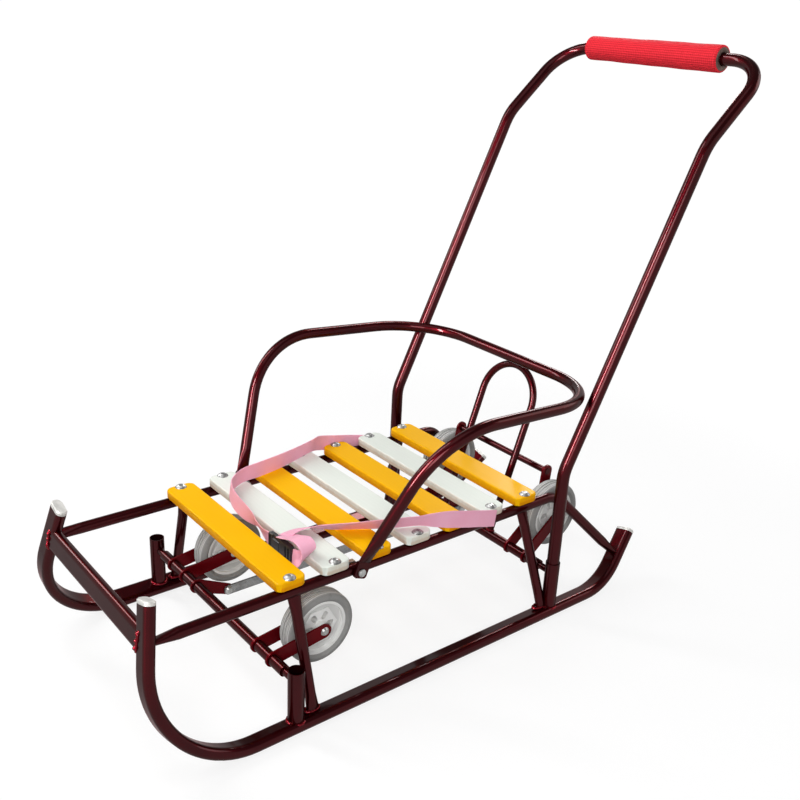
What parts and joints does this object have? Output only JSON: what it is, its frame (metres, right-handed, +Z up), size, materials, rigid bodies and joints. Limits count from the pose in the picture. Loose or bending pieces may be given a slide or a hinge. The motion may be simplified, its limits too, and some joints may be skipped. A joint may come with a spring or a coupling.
{
  "type": "stroller sled",
  "caption": "Child's sled with steel runners, a slatted seat, a folding back hoop, a plug-in push handle and wheels that a lever swings down for bare ground.",
  "frame": {"origin": "on the ground, in the middle of the sled's width and half way from the nose to the back of the grip", "axes": "+X to the sled's left, +Y from the nose to the handle, +Z up"},
  "size_m": [0.4326, 0.97, 0.797],
  "materials": {
    "frame_paint": "gloss dark red paint",
    "slat_yellow": "gloss yellow paint on wood",
    "slat_white": "gloss white paint on wood",
    "cap_silver": "silver-white plug",
    "zinc": "zinc plated",
    "tyre": "grey solid rubber",
    "hub_plastic": "light grey plastic",
    "grip_foam": "red foam",
    "strap_web": "pink woven webbing",
    "buckle_plastic": "black plastic"
  },
  "bodies": {
    "frame": {"runner_left": "frame_paint", "rail_left": "frame_paint", "stanchion_front_left": "frame_paint", "stanchion_rear_left": "frame_paint", "socket_front_left": "frame_paint", "socket_rear_left": "frame_paint", "hoop_bolt_left": "zinc", "runner_right": "frame_paint", "rail_right": "frame_paint", "stanchion_front_right": "frame_paint", "stanchion_rear_right": "frame_paint", "socket_front_right": "frame_paint", "socket_rear_right": "frame_paint", "hoop_bolt_right": "zinc", "nose_caps": "cap_silver", "tail_caps": "cap_silver", "crossbar": "frame_paint", "slat_1": "slat_yellow", "slat_2": "slat_white", "slat_3": "slat_yellow", "slat_4": "slat_white", "slat_5": "slat_yellow", "slat_6": "slat_white", "slat_7": "slat_yellow", "slat_bolts": "zinc", "handle": "frame_paint", "grip": "grip_foam", "front_rod": "frame_paint", "rear_rod": "frame_paint", "strap_left": "strap_web", "strap_right": "strap_web", "buckle_socket": "buckle_plastic", "buckle_clip": "buckle_plastic"},
    "front_gear": {"front_tube": "frame_paint", "front_fork_left": "frame_paint", "front_fork_right": "frame_paint", "front_axles": "zinc", "front_crank": "frame_paint", "front_link_pin": "zinc"},
    "rear_gear": {"rear_tube": "frame_paint", "rear_fork_left": "frame_paint", "rear_fork_right": "frame_paint", "rear_axles": "zinc", "rear_crank": "frame_paint", "rear_link_pin": "zinc", "foot_bar": "frame_paint", "hand_lever": "frame_paint"},
    "link": {"link_bar": "zinc"},
    "back_hoop": {"back_hoop": "frame_paint"},
    "wheel_front_left": {"wheel_hub_front_left": "hub_plastic", "tyre_front_left": "tyre"},
    "wheel_front_right": {"wheel_hub_front_right": "hub_plastic", "tyre_front_right": "tyre"},
    "wheel_rear_left": {"wheel_hub_rear_left": "hub_plastic", "tyre_rear_left": "tyre"},
    "wheel_rear_right": {"wheel_hub_rear_right": "hub_plastic", "tyre_rear_right": "tyre"}
  },
  "joints": [
    {"name": "wheel_swing", "type": "hinge", "parent": "frame", "child": "rear_gear", "pos_m": [0, 0.13625, 0.0725], "axis": [-1, 0, 0], "range_deg": [0, 100]},
    {"name": "front_wheel_swing", "type": "hinge", "parent": "frame", "child": "front_gear", "pos_m": [0, -0.30385, 0.0725], "axis": [-1, 0, 0], "range_deg": [0, 100]},
    {"name": "link_swing", "type": "hinge", "parent": "front_gear", "child": "link", "pos_m": [-0.062, -0.25635, 0.05135], "axis": [1, 0, 0], "range_deg": [0, 100]},
    {"name": "back_fold", "type": "hinge", "parent": "frame", "child": "back_hoop", "pos_m": [0, -0.18555, 0.166], "axis": [1, 0, 0], "range_deg": [0, 126]},
    {"name": "wheel_front_left_spin", "type": "hinge", "parent": "front_gear", "child": "wheel_front_left", "pos_m": [0.116, -0.22661, 0.08336], "axis": [1, 0, 0], "continuous": true},
    {"name": "wheel_front_right_spin", "type": "hinge", "parent": "front_gear", "child": "wheel_front_right", "pos_m": [-0.116, -0.22661, 0.08336], "axis": [1, 0, 0], "continuous": true},
    {"name": "wheel_rear_left_spin", "type": "hinge", "parent": "rear_gear", "child": "wheel_rear_left", "pos_m": [0.116, 0.19687, 0.12159], "axis": [1, 0, 0], "continuous": true},
    {"name": "wheel_rear_right_spin", "type": "hinge", "parent": "rear_gear", "child": "wheel_rear_right", "pos_m": [-0.116, 0.19687, 0.12159], "axis": [1, 0, 0], "continuous": true}
  ],
  "couplings": [
    {"joint": "front_wheel_swing", "follows": "wheel_swing", "ratio": 1},
    {"joint": "link_swing", "follows": "wheel_swing", "ratio": 1}
  ]
}
